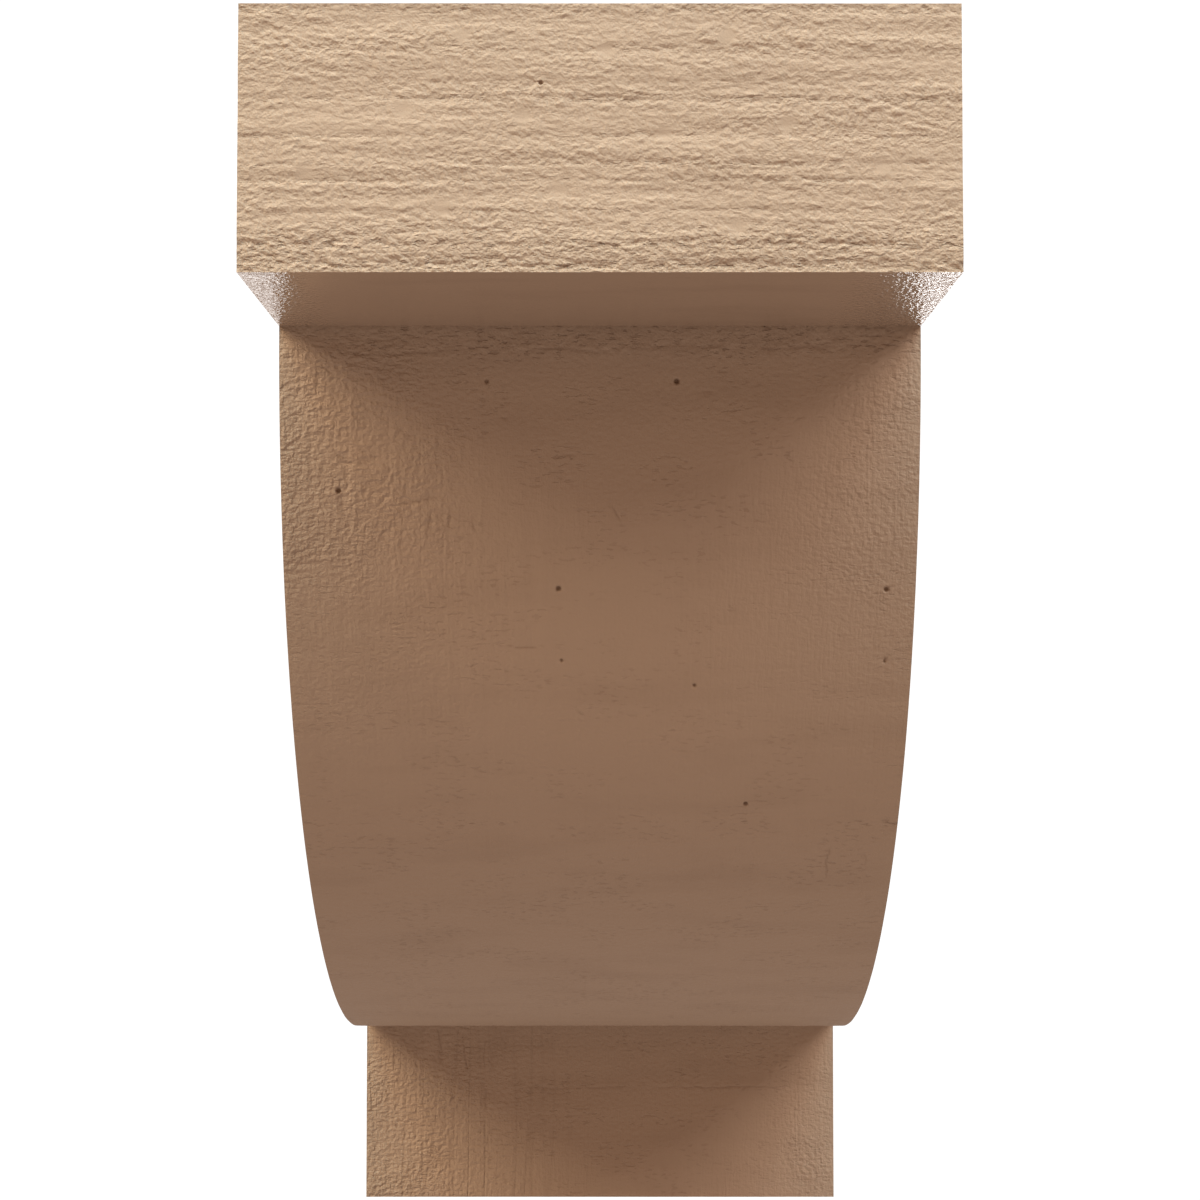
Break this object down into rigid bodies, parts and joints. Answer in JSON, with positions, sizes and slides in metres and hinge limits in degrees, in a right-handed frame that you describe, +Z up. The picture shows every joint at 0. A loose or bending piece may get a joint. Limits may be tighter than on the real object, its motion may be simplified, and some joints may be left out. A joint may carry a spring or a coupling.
{
  "type": "corbel",
  "caption": "Rough-sawn timber corbel of constant width, with a square cap, a quarter-round belly and a square foot, held by its flat back to carry a beam, shelf or eave.",
  "frame": {"origin": "middle of the flat back face that lies against the wall", "axes": "+Y into the wall, so the corbel stands out towards -Y; +Z up towards the face that carries the load; X across the width"},
  "size_m": [0.1524, 0.3048, 0.3048],
  "materials": {
    "tan_timber": "matte"
  },
  "bodies": {
    "root": {"corbel": "tan_timber"}
  },
  "joints": []
}
